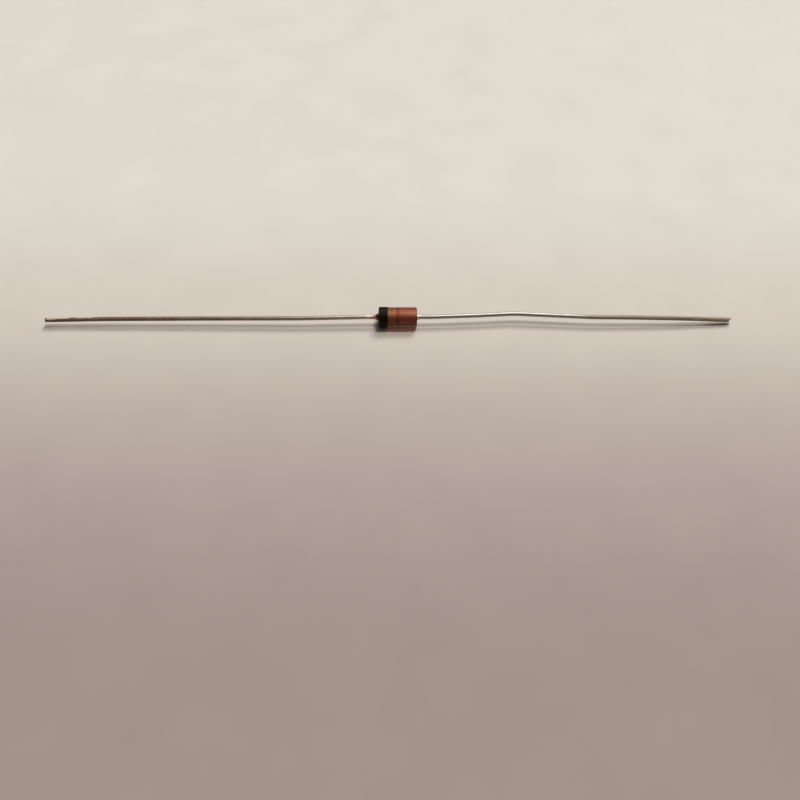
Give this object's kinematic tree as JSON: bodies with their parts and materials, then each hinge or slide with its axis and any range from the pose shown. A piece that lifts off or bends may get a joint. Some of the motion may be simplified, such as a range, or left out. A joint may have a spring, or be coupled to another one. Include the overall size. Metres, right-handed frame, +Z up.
{
  "type": "axial glass diode",
  "caption": "Small axial diode: red-brown glass body with a black cathode band, on two long tinned wire leads, lying as cut from its tape.",
  "frame": {"origin": "On the table that the diode lies on, under the middle of its whole length from tip to tip; the glass body's axis is 0.93 mm above it.", "axes": "+X along the leads towards the anode, so the cathode band is at the -X end of the glass; +Z up from the table; +Y to the side that the anode lead's bend points to."},
  "size_m": [0.0632, 0.0018, 0.0019],
  "materials": {
    "sleeve_glass": "polished",
    "band_paint": "satin",
    "stud_copper": "satin",
    "chip_silicon": "polished",
    "bump_silver": "satin",
    "lead_wire": "satin"
  },
  "bodies": {
    "root": {"glass_sleeve": "sleeve_glass", "cathode_band": "band_paint", "cathode_stud": "stud_copper", "anode_stud": "stud_copper", "silicon_chip": "chip_silicon", "chip_bump": "bump_silver", "cathode_lead": "lead_wire", "anode_lead": "lead_wire"}
  },
  "joints": []
}
